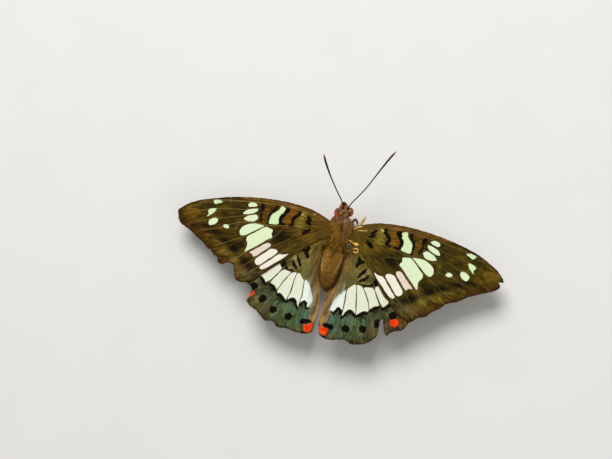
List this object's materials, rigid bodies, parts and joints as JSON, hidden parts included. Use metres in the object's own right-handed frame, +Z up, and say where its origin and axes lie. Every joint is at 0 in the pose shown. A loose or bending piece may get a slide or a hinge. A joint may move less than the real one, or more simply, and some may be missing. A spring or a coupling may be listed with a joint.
{
  "type": "brush-footed butterfly",
  "caption": "Life-size still model of a brush-footed butterfly standing with its patterned wings spread flat, feelers forward, outer wing edges worn.",
  "frame": {"origin": "centre of the footprint box, on the floor the feet stand on", "axes": "+X the butterfly's own left, across the spread wings; the head looks along -Y; +Z up from the floor"},
  "size_m": [0.0766, 0.0448, 0.0188],
  "materials": {
    "forewing_left": "matte scales",
    "forewing_right": "matte scales",
    "hindwing_left": "matte scales",
    "hindwing_right": "matte scales",
    "thorax": "matte hair",
    "abdomen": "matte hair",
    "eye_left": "satin",
    "head": "matte hair",
    "eye_right": "satin",
    "palp_left": "matte hair",
    "palp_right": "matte hair",
    "proboscis": "satin",
    "antenna_left": "satin",
    "antenna_right": "satin",
    "midleg_right": "satin",
    "midleg_left": "satin",
    "hindleg_right": "satin",
    "hindleg_left": "satin",
    "foreleg_right": "matte hair",
    "foreleg_left": "matte hair"
  },
  "bodies": {
    "root": {"forewing_left": "forewing_left", "forewing_right": "forewing_right", "hindwing_left": "hindwing_left", "hindwing_right": "hindwing_right", "thorax": "thorax", "abdomen": "abdomen", "eye_left": "eye_left", "head": "head", "eye_right": "eye_right", "palp_left": "palp_left", "palp_right": "palp_right", "proboscis": "proboscis", "antenna_left": "antenna_left", "antenna_right": "antenna_right", "midleg_right": "midleg_right", "midleg_left": "midleg_left", "hindleg_right": "hindleg_right", "hindleg_left": "hindleg_left", "foreleg_right": "foreleg_right", "foreleg_left": "foreleg_left"}
  },
  "joints": []
}
